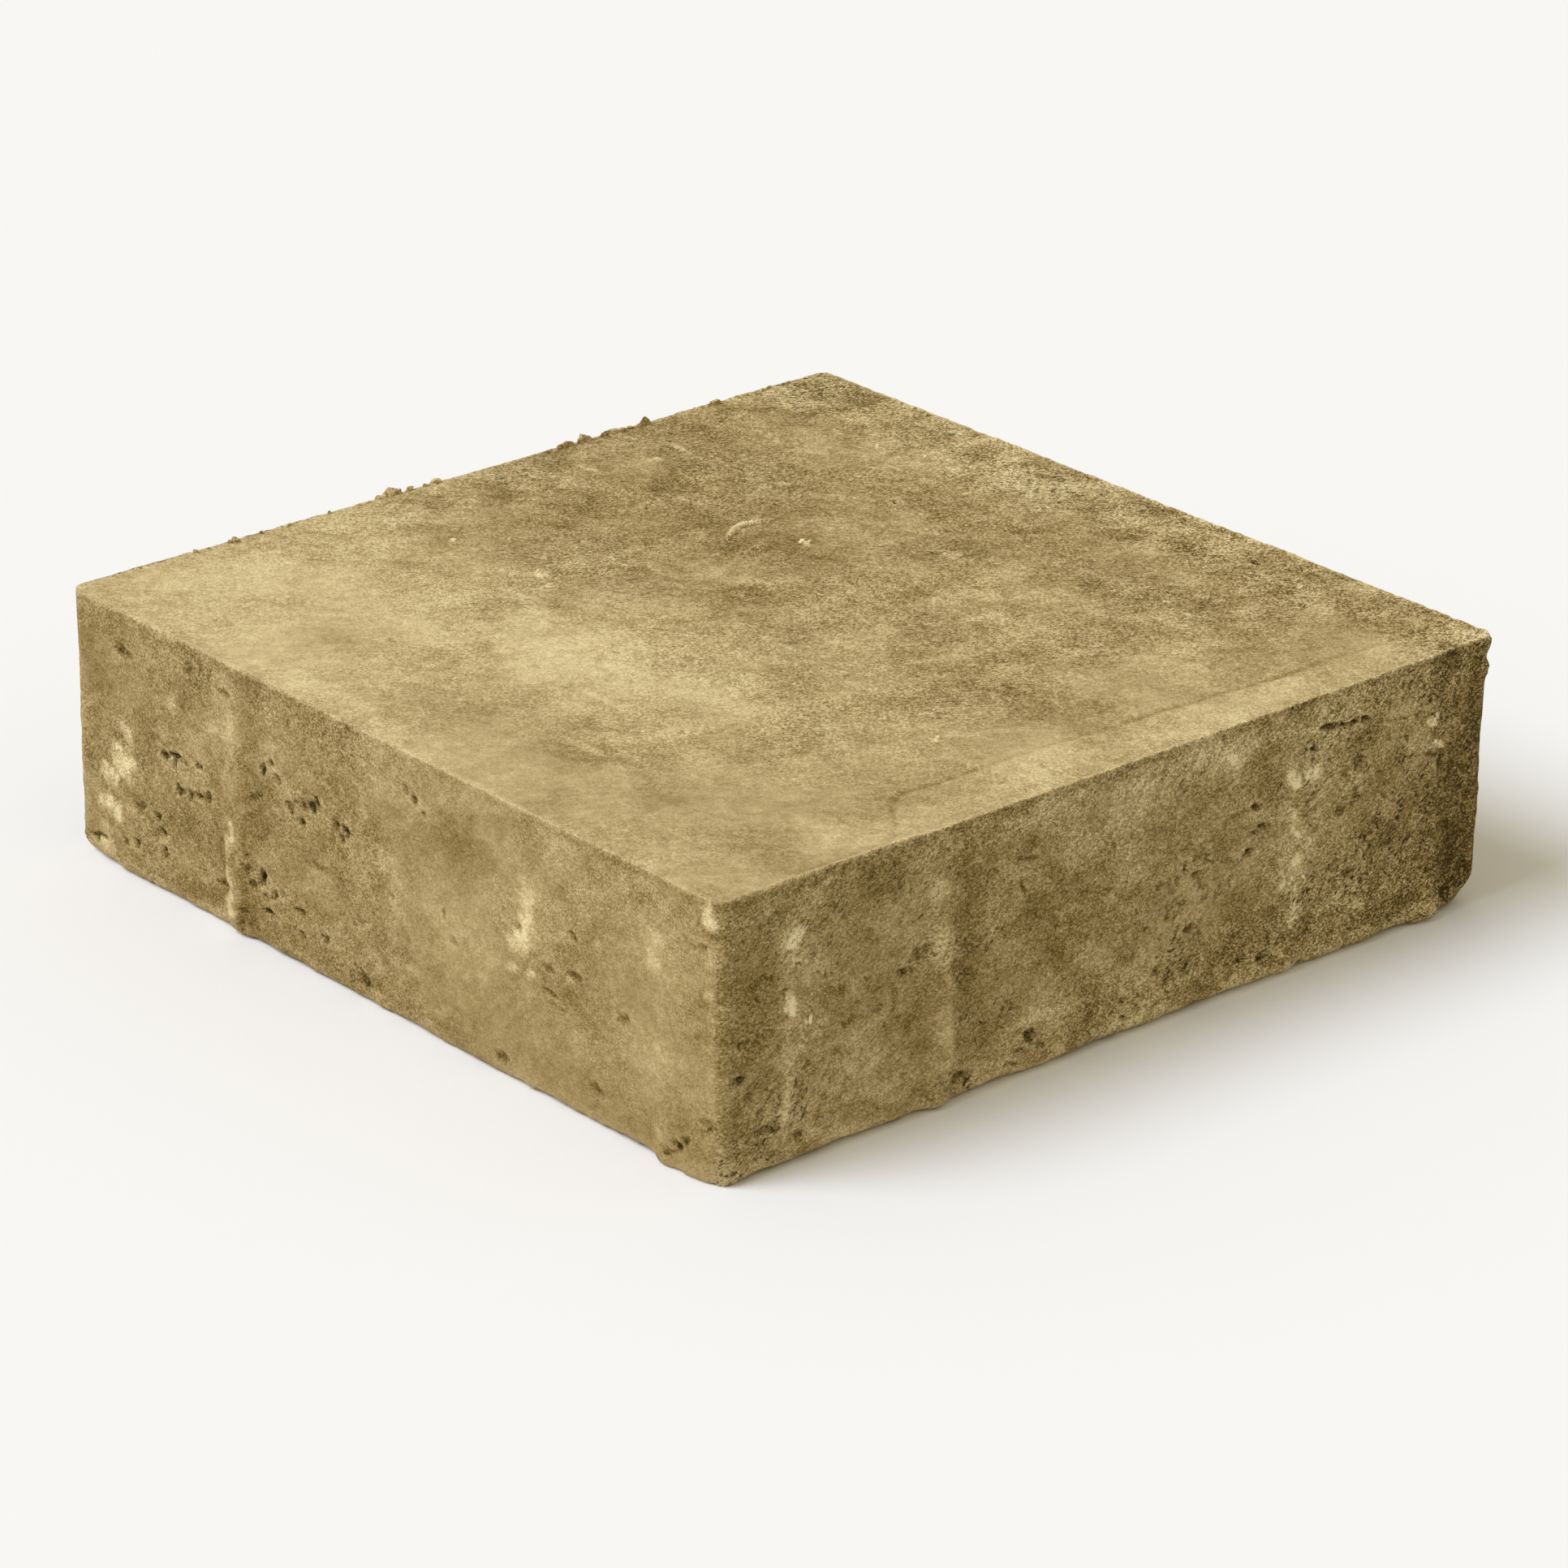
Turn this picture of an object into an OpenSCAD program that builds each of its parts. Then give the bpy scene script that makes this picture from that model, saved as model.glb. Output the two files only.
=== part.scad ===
// Square pressed concrete paving block with upright spacer nibs on all four sides.
// Units are millimetres. The block lies on its bed face: +Z is up, the origin is the
// centre of the bed face, and the four sides face +X, -X, +Y and -Y.

/* [Body] */
// Side of the square body, not counting the nibs
block_side = 208; // [160:1:300]
// Height from the bed face to the wearing face
block_height = 60; // [50:1:100]
// Radius of the four upright corners
corner_radius = 3; // [1:0.5:8]
// Radius of the worn lower arris all round the bed face
bed_arris = 4; // [1:0.5:8]

/* [Face layer] */
// Thickness of the fine face mix pressed on top of the coarse core
face_thickness = 8; // [5:0.5:12]
// Width and height of the small bevel on the top arris
top_bevel = 0.5; // [0.2:0.1:3]

/* [Spacer nibs] */
// How far the nibs stand out from the sides at their feet
nib_proud = 2; // [1:0.25:4]
// How far the nibs stand out just below their lead-in, which is less, so that the mould strips off
nib_crown = 0.8; // [0.4:0.1:0.9]
// Height of the upright contact face at the foot of a nib, above the rounded arris
nib_contact = 10; // [4:0.5:18]
// Width of the flat tip of a nib at its foot
nib_tip = 3; // [2:0.25:6]
// Width of a nib where it leaves the side
nib_root = 6.5; // [6.25:0.25:12]
// Distance from the wearing face down to the top of the nibs
nib_drop = 14.5; // [13:0.5:25]
// Height of the sloping lead-in at the top of a nib
nib_lead_in = 4; // [2:0.5:10]
// Distance from the middle of a side to its two inner nibs
nib_inner = 48; // [30:1:55]
// Distance from a corner of the body to the outer nib beside it
nib_corner_gap = 16; // [15:0.5:24]

/* [Hidden] */
$fn = 96;
half_side = block_side / 2;
core_height = block_height - face_thickness;
nib_top = block_height - nib_drop;
nib_outer = half_side - nib_corner_gap;
nib_offsets = [-nib_outer, -nib_inner, nib_inner, nib_outer];
// How far each nib is buried in the body, so that it also fills the rounded lower arris
nib_embed = bed_arris + 4;
// Extra length that carries a cutting shape clear of the body
margin = 1;
core_colour = [0.60, 0.54, 0.40];
face_colour = [0.71, 0.64, 0.48];

// Plan of the body: a square with its four corners rounded.
module body_plan() {
  straight = block_side - 2 * corner_radius;
  square([straight, block_side], center = true);
  square([block_side, straight], center = true);
  for (sx = [-1, 1]) {
    for (sy = [-1, 1]) {
      translate([sx * straight / 2, sy * straight / 2]) {
        circle(r = corner_radius);
      }
    }
  }
}

// Upright section of the core, with both of its lower corners rounded.
module core_section() {
  flat = block_side - 2 * bed_arris;
  translate([-flat / 2, 0]) {
    square([flat, core_height]);
  }
  translate([-half_side, bed_arris]) {
    square([block_side, core_height - bed_arris]);
  }
  for (side = [-1, 1]) {
    translate([side * flat / 2, bed_arris]) {
      circle(r = bed_arris);
    }
  }
}

// Upright section of the face layer, with a small bevel on both of its top corners.
module face_section() {
  polygon([
    [-half_side, core_height],
    [half_side, core_height],
    [half_side, block_height - top_bevel],
    [half_side - top_bevel, block_height],
    [-half_side + top_bevel, block_height],
    [-half_side, block_height - top_bevel]
  ]);
}

// Draws a child section right through the block along Y.
module through_y() {
  rotate([90, 0, 0]) {
    linear_extrude(height = block_side + 2 * margin, center = true) {
      children();
    }
  }
}

// The part of the body plan that an upright section, drawn along Y and along X, leaves.
module squared_body() {
  intersection() {
    linear_extrude(height = block_height) {
      body_plan();
    }
    through_y() {
      children();
    }
    rotate([0, 0, 90]) {
      through_y() {
        children();
      }
    }
  }
}

// Cross section of a nib seen from above. The side of the block is the line y = 0.
module nib_plan() {
  polygon([
    [-nib_root / 2, -nib_embed],
    [nib_root / 2, -nib_embed],
    [nib_root / 2, 0],
    [nib_tip / 2, nib_proud],
    [-nib_tip / 2, nib_proud],
    [-nib_root / 2, 0]
  ]);
}

// Profile of a nib seen from its flank. From the top down it has a sloping lead-in, a long
// face that leans out, an upright contact face and a rounded foot.
module nib_profile() {
  polygon([
    [-nib_embed, bed_arris],
    [nib_proud, bed_arris],
    [nib_proud, bed_arris + nib_contact],
    [nib_crown, nib_top - nib_lead_in],
    [0, nib_top],
    [-nib_embed, nib_top]
  ]);
  translate([-nib_embed, 0]) {
    square([nib_embed + nib_proud - bed_arris, bed_arris + margin]);
  }
  translate([nib_proud - bed_arris, bed_arris]) {
    circle(r = bed_arris);
  }
}

// One nib, standing out along +Y from a side that is the plane y = 0.
module nib() {
  intersection() {
    linear_extrude(height = nib_top) {
      nib_plan();
    }
    rotate([90, 0, 90]) {
      linear_extrude(height = nib_root + 2 * margin, center = true) {
        nib_profile();
      }
    }
  }
}

// Coarse core of the block, with four nibs cast in one piece with it on every side.
module core_block() {
  color(core_colour) {
    union() {
      squared_body() {
        core_section();
      }
      for (turn = [0, 90, 180, 270]) {
        rotate([0, 0, turn]) {
          for (along = nib_offsets) {
            translate([along, half_side, 0]) {
              nib();
            }
          }
        }
      }
    }
  }
}

// Fine face layer bonded to the top of the core, carrying the wearing face.
module face_layer() {
  color(face_colour) {
    squared_body() {
      face_section();
    }
  }
}

core_block();
face_layer();
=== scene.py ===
"""Square pressed concrete paving block: a coarse core with cast spacer nibs under a fine face layer."""

import functools
import math
import random

import bmesh
import bpy
from mathutils import Matrix, Vector, noise


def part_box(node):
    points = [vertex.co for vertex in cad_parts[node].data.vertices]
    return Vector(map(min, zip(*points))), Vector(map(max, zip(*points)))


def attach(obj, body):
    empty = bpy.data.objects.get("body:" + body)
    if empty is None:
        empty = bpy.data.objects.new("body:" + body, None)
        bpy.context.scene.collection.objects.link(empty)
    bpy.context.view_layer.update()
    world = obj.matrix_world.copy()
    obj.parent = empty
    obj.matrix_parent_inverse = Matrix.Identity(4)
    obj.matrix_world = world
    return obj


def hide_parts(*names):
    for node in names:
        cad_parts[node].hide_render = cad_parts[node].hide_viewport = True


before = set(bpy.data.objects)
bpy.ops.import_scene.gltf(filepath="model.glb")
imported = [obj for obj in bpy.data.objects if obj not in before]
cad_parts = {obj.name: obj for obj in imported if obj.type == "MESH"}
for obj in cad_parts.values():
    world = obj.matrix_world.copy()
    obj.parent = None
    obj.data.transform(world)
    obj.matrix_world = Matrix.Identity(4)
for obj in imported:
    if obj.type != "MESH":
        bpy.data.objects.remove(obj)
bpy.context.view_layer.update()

MM = 0.001

# The block's real size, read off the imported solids.
FACE_LOW, FACE_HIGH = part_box("face_layer")
HALF = FACE_HIGH[0]
BOND = FACE_LOW[2]
TOP = FACE_HIGH[2]
NIB_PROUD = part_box("core_block")[1][0] - HALF

CORNER_RADIUS = 3 * MM
ARRIS_RADIUS = 2.8 * MM
NIB_TOP = TOP - 14.5 * MM
NIB_LEAD_IN = 4 * MM
NIB_HALF_WIDTH = 5 * MM
NIB_OFFSETS = (-88 * MM, -48 * MM, 48 * MM, 88 * MM)

# The four sides: (name, the axis each one faces along, the sign of that direction).
SIDES = (("east", 0, 1), ("west", 0, -1), ("north", 1, 1), ("south", 1, -1))
# How near the top face or a side's face a vertex of the unworn blank has to be to count as on it.
NEAR = 0.05 * MM


# ---------------------------------------------------------------- modelling helpers

def deselect_all():
    bpy.ops.object.select_all(action="DESELECT")


def make_active(piece):
    deselect_all()
    piece.select_set(True)
    bpy.context.view_layer.objects.active = piece


def pick(piece, kind, test):
    """Selects the vertices, edges or faces of the piece in edit mode that the test accepts."""
    bpy.ops.mesh.select_mode(type={"verts": "VERT", "edges": "EDGE", "faces": "FACE"}[kind])
    bpy.ops.mesh.select_all(action="DESELECT")
    mesh = bmesh.from_edit_mesh(piece.data)
    found = 0
    for part in getattr(mesh, kind):
        if test(part):
            part.select_set(True)
            found += 1
    bmesh.update_edit_mesh(piece.data)
    return found


def runs_along(edge, axis, shortest, longest=1.0):
    """True where the edge lies along the axis and its length is between the two limits."""
    run = edge.verts[1].co - edge.verts[0].co
    return shortest < run.length < longest and abs(run[axis]) > 0.999 * run.length


def split_edges(piece, axis, shortest, counts, longest=1.0):
    """Subdivides the edges along an axis into the product of the counts."""
    limit = shortest
    for count in counts:
        pick(piece, "edges", lambda e: runs_along(e, axis, limit, longest))
        bpy.ops.mesh.subdivide(number_cuts=count - 1)
        limit = limit / count


def apply_modifiers(piece):
    make_active(piece)
    for modifier in list(piece.modifiers):
        bpy.ops.object.modifier_apply(modifier=modifier.name)


def paint_group(piece, name, weight):
    """A vertex group whose weight at each vertex is worked out from the vertex's place."""
    group = piece.vertex_groups.new(name=name)
    for vertex in piece.data.vertices:
        w = weight(vertex.co)
        if w > 0.001:
            group.add([vertex.index], min(w, 1.0), "REPLACE")
    return group


def displace(piece, depth, texture=None, group=None, mid=0.5, direction="NORMAL"):
    modifier = piece.modifiers.new("displace", "DISPLACE")
    modifier.strength = depth
    modifier.mid_level = mid
    modifier.direction = direction
    if texture:
        modifier.texture = texture
        modifier.texture_coords = "GLOBAL"
    if group:
        modifier.vertex_group = group
    return modifier


def clouds(name, size, depth=2, contrast=1.0):
    texture = bpy.data.textures.new(name, "CLOUDS")
    texture.noise_scale = size
    texture.noise_depth = depth
    texture.contrast = contrast
    return texture


def hollows(name, size, start, full):
    """Clouds about a size across that count only where they are thickest: scattered ragged hollows."""
    texture = clouds(name, size, 3)
    texture.use_color_ramp = True
    ramp = texture.color_ramp
    ramp.interpolation = "EASE"
    ramp.elements[0].position = start
    ramp.elements[0].color = (0, 0, 0, 1)
    ramp.elements[1].position = full
    ramp.elements[1].color = (1, 1, 1, 1)
    return texture


def smooth(low, high, x):
    t = min(max((x - low) / (high - low), 0.0), 1.0)
    return t * t * (3 - 2 * t)


# ---------------------------------------------------------------- the block's blank

def block_blank():
    """The whole block as one even grid, open underneath, ready to be worn and pitted."""
    deselect_all()
    bpy.ops.mesh.primitive_cube_add(size=1, location=(0, 0, TOP / 2))
    blank = bpy.context.active_object
    blank.name = "block_blank"
    blank.scale = (2 * HALF, 2 * HALF, TOP)
    bpy.ops.object.transform_apply(location=True, rotation=True, scale=True)

    # Corners and lower arris are rounded, and the underside is taken away.
    bpy.ops.object.mode_set(mode="EDIT")
    pick(blank, "edges", lambda e: runs_along(e, 2, 30 * MM))
    bpy.ops.mesh.bevel(offset=CORNER_RADIUS, offset_type="OFFSET", segments=4, affect="EDGES")
    pick(blank, "edges", lambda e: all(v.co.z < MM for v in e.verts))
    bpy.ops.mesh.bevel(offset=ARRIS_RADIUS, offset_type="OFFSET", segments=4, affect="EDGES")
    pick(blank, "faces", lambda f: f.normal.z < -0.99)
    bpy.ops.mesh.delete(type="ONLY_FACE")
    # The top is cut in line with the corners, and the sides at the bond, so that the grid meets everywhere.
    inner = HALF - CORNER_RADIUS
    for axis in (0, 1):
        for side in (-1, 1):
            place = [0, 0, 0]
            place[axis] = side * inner
            facing = [0, 0, 0]
            facing[axis] = side
            pick(blank, "faces", lambda f: f.normal.z > 0.99)
            bpy.ops.mesh.bisect(plane_co=place, plane_no=facing)
    bpy.ops.mesh.select_all(action="SELECT")
    bpy.ops.mesh.bisect(plane_co=(0, 0, BOND), plane_no=(0, 0, 1))
    # Squares of about 0.75 mm: 63 rows below the bond, 10 above it, and 272 across each side.
    split_edges(blank, 2, 30 * MM, (7, 9))
    split_edges(blank, 2, 6 * MM, (10,), 9 * MM)
    for axis in (0, 1):
        split_edges(blank, axis, 100 * MM, (16, 17))
        split_edges(blank, axis, 2.5 * MM, (4,), 3.5 * MM)
    bpy.ops.object.mode_set(mode="OBJECT")
    return blank


# ---------------------------------------------------------------- where the marks are

# Every mark is placed in millimetres on its own side. On a side, the first number runs from its left end
# as it is looked at, and the second runs down from the top arris. On the wearing face they are X and Y from
# the corner where both are least.

SIZE = 2 * HALF / MM
TALL = TOP / MM


def side_of(co):
    """The side a point is on, as (name, along, down) in millimetres, with "top" for the wearing face."""
    x, y, z = co.x / MM, co.y / MM, co.z / MM
    half = SIZE / 2
    if z > TALL - NEAR / MM and max(abs(x), abs(y)) < half - NEAR / MM:
        return "top", x + half, y + half
    if abs(x) >= abs(y):
        return ("east", y + half, TALL - z) if x > 0 else ("west", half - y, TALL - z)
    return ("north", half - x, TALL - z) if y > 0 else ("south", x + half, TALL - z)


# Hollows left by air and by grains that came out: (along, down, radius along, radius down, depth).
SOUTH_PITS = (
    (32, 28, 1.3, 1.4, 1.1), (35.5, 28.5, 0.9, 1.6, 1.0), (35, 26.8, 3.4, 0.8, 1.2),
    (42.5, 33.2, 5.0, 0.7, 0.8), (81, 23, 3.2, 0.6, 1.1), (93, 25, 0.8, 2.2, 1.2),
    (2, 56.3, 1.8, 0.5, 1.0), (5, 55.2, 2.0, 0.5, 1.1), (8, 54.2, 2.0, 0.5, 1.1),
    (11, 53.2, 1.8, 0.5, 0.8), (52, 50, 3, 0.6, 0.6), (158, 36, 3.4, 0.6, 0.7), (67, 51, 2.6, 0.7, 1.0),
    (31, 50, 1.2, 1.6, 0.8), (78, 47, 2.4, 0.6, 0.9), (148, 26, 1.4, 0.7, 0.7),
    (165, 30, 2.4, 1.0, 0.9), (37.3, 34, 1.1, 1.0, 1.2), (40.4, 33.6, 1.1, 0.9, 1.2),
    (43.6, 33.2, 1.1, 1.0, 1.2), (46.6, 32.4, 0.9, 1.0, 1.2), (44, 26.5, 1.1, 1.0, 1.0),
    (29, 42.5, 1.1, 1.0, 1.1), (30.5, 45.5, 1.3, 1.0, 1.0), (21, 51, 1.1, 1.0, 1.0),
    (53, 7, 2.4, 1.0, 0.7), (41, 5.5, 2.4, 1.4, 0.6), (18, 9, 3.0, 1.6, 0.7), (66, 19.5, 1.1, 1.5, 1.1),
    (69, 17.5, 0.9, 1.2, 1.0), (71, 20, 1.6, 0.7, 0.9), (75, 25, 1.2, 1.4, 1.0),
    (79, 27, 1.4, 0.8, 0.9), (84, 21, 0.9, 1.5, 1.1), (82, 22.4, 2.4, 0.7, 0.9),
    (79.6, 24, 1.8, 0.6, 0.8), (91.6, 26.6, 1.3, 0.8, 1.1), (94.6, 24.2, 1.0, 1.3, 1.1),
    (90, 24, 0.9, 1.1, 0.8), (65, 44, 1.2, 1.3, 1.8), (69, 46.5, 1.1, 0.9, 1.1),
    (62, 46.5, 1.0, 0.8, 0.8), (60, 43.5, 0.9, 1.1, 0.8), (66, 48.5, 1.0, 0.7, 0.8),
    (72, 45, 0.8, 1.0, 0.8), (60, 41, 0.8, 0.7, 0.7), (63.5, 41.5, 0.7, 0.6, 0.6),
    (78, 52, 1.8, 0.8, 0.9), (86, 50, 1.0, 1.2, 0.8), (113, 8.5, 1.0, 1.0, 0.9),
    (116, 10, 1.2, 0.9, 0.9), (119, 11.5, 1.0, 0.8, 0.7), (108, 33, 1.0, 0.9, 0.7),
    (125, 31, 0.8, 1.5, 0.5), (128, 36, 1.6, 0.9, 0.5), (165, 21.5, 1.8, 0.8, 0.7),
    (158, 31, 1.2, 0.8, 0.8), (99, 55, 2.2, 1.6, 0.8), (143, 56, 2.0, 1.5, 0.8),
    (180, 34, 1.8, 1.4, 0.6), (193.5, 56, 1.8, 0.9, 0.8), (196, 54.4, 1.8, 1.0, 0.9),
    (198.4, 52.8, 1.4, 0.8, 0.7), (203, 10.5, 2.0, 0.5, 0.6), (206.4, 8.4, 1.6, 0.5, 0.6),
    (205, 47, 2.4, 1.6, 0.8), (172, 52, 2.4, 1.4, 0.7), (112, 45, 3.4, 2.2, 0.5),
    (84, 35, 2.4, 1.2, 0.6),
)
EAST_PITS = (
    (160.8, 8.2, 2.4, 0.9, 1.4), (164.6, 8.5, 2.0, 0.6, 1.2), (168, 8.9, 1.8, 0.6, 1.1),
    (171, 9.2, 1.6, 0.7, 1.2), (131, 3.2, 0.5, 1.7, 0.7), (157, 11.8, 1.1, 0.8, 1.0),
    (184, 17, 1.0, 0.8, 0.8), (189, 6.5, 0.9, 0.7, 0.8), (141, 20, 1.4, 1.1, 1.1),
    (142, 24.8, 3.6, 0.7, 1.0), (139, 29, 1.6, 0.8, 0.9), (122, 28, 0.7, 2.0, 0.7),
    (125, 30, 2.4, 0.7, 0.7), (128, 27.5, 0.7, 1.8, 0.7), (79, 13.5, 3.4, 0.9, 0.7),
    (51, 25, 3.2, 1.6, 0.8), (47, 28, 2.6, 1.0, 0.7), (31, 27, 2.4, 2.0, 0.6), (30, 40, 3.0, 1.8, 0.6),
    (80, 52, 1.8, 1.4, 1.2), (77.5, 54.4, 2.2, 0.8, 0.8), (83, 54.6, 1.4, 1.0, 0.9),
    (75, 56.4, 1.6, 0.7, 0.7), (165.5, 27.3, 1.6, 1.3, 0.7), (118, 37.3, 2.6, 0.6, 0.7),
    (123, 41.4, 1.8, 0.7, 0.7), (126, 43.6, 1.4, 0.6, 0.6), (114, 48, 1.0, 1.2, 0.5),
    (103, 54, 1.4, 0.9, 0.8), (106, 56, 1.4, 0.8, 0.8), (109, 54.5, 1.2, 0.8, 0.6),
    (105, 52, 1.0, 0.7, 0.5), (138, 52.5, 1.3, 1.0, 1.1), (144, 54, 1.4, 1.2, 1.0),
    (5, 38, 2.6, 0.7, 0.9), (12, 50, 3.2, 1.4, 0.9), (20, 54, 2.6, 1.4, 0.8), (62, 55, 3.0, 1.2, 0.8),
    (196, 39, 2.4, 2.0, 0.6), (205, 26, 1.6, 2.4, 0.6), (176, 33, 1.6, 1.3, 0.6),
    (168, 42, 2.0, 1.2, 0.6), (203, 50, 1.8, 2.2, 0.6), (182, 56, 2.6, 1.2, 0.7),
)
TOP_PITS = (
    (11, 169, 0.9, 0.8, 0.7), (148, 199, 1.2, 0.8, 0.9), (172, 189, 1.1, 0.8, 0.8),
    (41, 122, 1.1, 0.9, 0.7), (61, 119, 1.0, 0.9, 0.8), (73, 165, 1.3, 1.0, 0.8),
    (66, 33, 1.2, 0.8, 0.6), (120, 171, 1.0, 0.7, 0.6),
)

# Grains and skins of paste that stand up: (along, down, radius along, radius down, height).
SOUTH_LUMPS = (
    (33, 22.5, 2.6, 1.8, 0.5), (77, 22, 3.0, 2.0, 0.5), (95, 22, 2.6, 2.0, 0.5),
    (35, 47, 0.9, 2.0, 0.5), (68, 52, 2.2, 0.8, 0.5), (90, 46, 3.0, 2.0, 0.4), (118, 40, 6.0, 4.0, 0.5),
    (128, 50, 8.0, 4.0, 0.5), (160, 37, 4.0, 1.0, 0.5), (187, 40, 7.0, 4.0, 0.4),
    (156, 47, 6.0, 4.0, 0.4), (108, 12, 5.0, 2.5, 0.3), (193, 58.5, 4.0, 3.5, 1.0),
    (201, 58.5, 7.0, 3.5, 0.9),
)
EAST_LUMPS = (
    (79, 49, 5.5, 1.2, 0.7), (125, 28, 2.0, 1.6, 0.4), (140, 25, 3.0, 2.6, 0.5),
    (95, 40, 7.0, 4.0, 0.5), (136, 50, 1.0, 1.0, 0.8), (40, 50, 8.0, 4.0, 0.5),
    (150, 37, 4.0, 4.0, 0.5), (196, 31, 2.0, 1.6, 0.5), (201, 45, 2.0, 2.0, 0.4),
    (172, 22, 3.0, 3.0, 0.4), (22, 20, 4.0, 3.0, 0.3), (110, 20, 6.0, 3.0, 0.4),
    (3, 58.5, 5.0, 3.5, 0.9), (192, 57.5, 4.0, 3.0, 0.9),
)
TOP_LUMPS = (
    (77, 108, 5.0, 4.0, 0.45), (118, 132, 12.0, 2.0, 0.25), (108, 118, 9.0, 1.4, 0.25),
    (83, 168, 9.0, 1.2, 0.35), (58, 176, 6.0, 2.0, 0.35), (33, 178, 8.0, 2.4, 0.3),
    (152, 84, 7.0, 4.0, 0.25), (97, 64, 8.0, 3.0, 0.25),
)


def mound(along, down, marks, middle=0.35, rim=1.35):
    """The strongest of the marks at a place. Each is whole out to the middle share of its radius, and
    nothing is left of it past the rim share."""
    height = 0.0
    for a, d, wide, high, tall in marks:
        da, dd = (along - a) / wide, (down - d) / high
        if -rim < da < rim and -rim < dd < rim:
            height = max(height, tall * (1 - smooth(middle, rim, math.hypot(da, dd))))
    return height


def ragged(co, along, down, amount, size):
    """The same place pushed about a little, so that marks laid there get torn outlines."""
    spot = co / (size * MM)
    other = spot + Vector((4.7, 1.3, 8.1))
    along += amount * (noise.noise(spot) + 0.5 * noise.noise(2.7 * spot))
    down += amount * (noise.noise(other) + 0.5 * noise.noise(2.7 * other))
    return along, down


def flipped(marks, shift):
    """The same marks end for end and shifted along the side, in millimetres."""
    return tuple(((SIZE - a + shift) % SIZE, d, w, h, t) for a, d, w, h, t in marks)


def all_round(south, east, top):
    """The marks of every side: the north and west sides are worn in the same way as the other two."""
    return {"south": south, "east": east, "top": top,
            "north": flipped(south, 11), "west": flipped(east, -17)}


PITS = all_round(SOUTH_PITS, EAST_PITS, TOP_PITS)
LUMPS = all_round(SOUTH_LUMPS, EAST_LUMPS, TOP_LUMPS)
# The full depth of a pit and height of a skin, in millimetres.
DEEPEST = 2.0
TALLEST = 1.0
# How far a pit's outline is pushed about, and over what distance, in millimetres.
PIT_RAGGED = (0.85, 2.0)


def pit_depth(co):
    """How deep the pits are at a place, as a share of the deepest."""
    side, along, down = side_of(co)
    along, down = ragged(co, along, down, *PIT_RAGGED)
    return mound(along, down, PITS[side], 0.25, 1.2) / DEEPEST


def pocked(co):
    """How much painted shade a place gets from the pits, where the paste is torn: 1 in the pits and less for
    a little way around them.
    """
    side, along, down = side_of(co)
    along, down = ragged(co, along, down, *PIT_RAGGED)
    pit = smooth(0.3, 1.2, mound(along, down, PITS[side], 0.25, 1.2))
    return max(pit, 0.42 * mound(along, down, PITS[side], 0.6, 2.6))


def pit_rim_highlight(co):
    """1 on the thin raised rim of paste around a pit, which is painted pale as a highlight."""
    side, along, down = side_of(co)
    along, down = ragged(co, along, down, *PIT_RAGGED)
    rim = 0.0
    for a, d, wide, high, deep in PITS[side]:
        da, dd = (along - a) / wide, (down - d) / high
        if -2.2 < da < 2.2 and -2.2 < dd < 2.2:
            rim = max(rim, min(deep, 1.0) * math.exp(-((math.hypot(da, dd) - 1.45) / 0.32) ** 2))
    return rim


def grittiness(co):
    """How much coarser than usual the sand looks. It is calm at the front and the east margin of the wearing
    face and at both ends of the south side, and gritty at the back of the wearing face and towards the far
    end and the foot of the east side."""
    side, along, down = side_of(co)
    if side == "top":
        calm = 0.60 * smooth(165, 195, along) * (1 - smooth(184, 198, down))
        return max(0.63 * smooth(0, 90, down) - 0.45 - calm, -0.50) + 0.70 * smooth(180, 194, down)
    if side in ("east", "west"):
        foot = smooth(38, 52, down) * (0.30 + 0.45 * smooth(55, 80, along))
        return 0.22 + 0.30 * smooth(125, 150, along) + 0.30 * smooth(180, 198, along) + foot
    left_end = (1 - smooth(15, 48, along)) * (1 - smooth(14, 30, down))
    return 0.05 - 0.30 * left_end - 0.30 * smooth(90, 140, along)


def lump_height(co):
    """How high the raised skins are at a place, as a share of the tallest."""
    side, along, down = side_of(co)
    along, down = ragged(co, along, down, 1.6, 3.0)
    return mound(along, down, LUMPS[side], 0.1, 1.5) / TALLEST


def patchy(co, size, low, high):
    """A soft random patch pattern, 0 to 1, with patches about a size across."""
    return smooth(low, high, 0.5 + 0.5 * noise.noise(co / size))


# How much of each nib is left after handling, from the left end of its side. The unseen sides follow suit.
NIB_LEFT = {"south": (0.15, 0.80, 0.12, 0.25), "east": (0.15, 0.55, 0.25, 0.35),
            "north": (0.80, 0.35, 0.60, 0.30), "west": (0.45, 0.70, 0.30, 0.90)}


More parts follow.
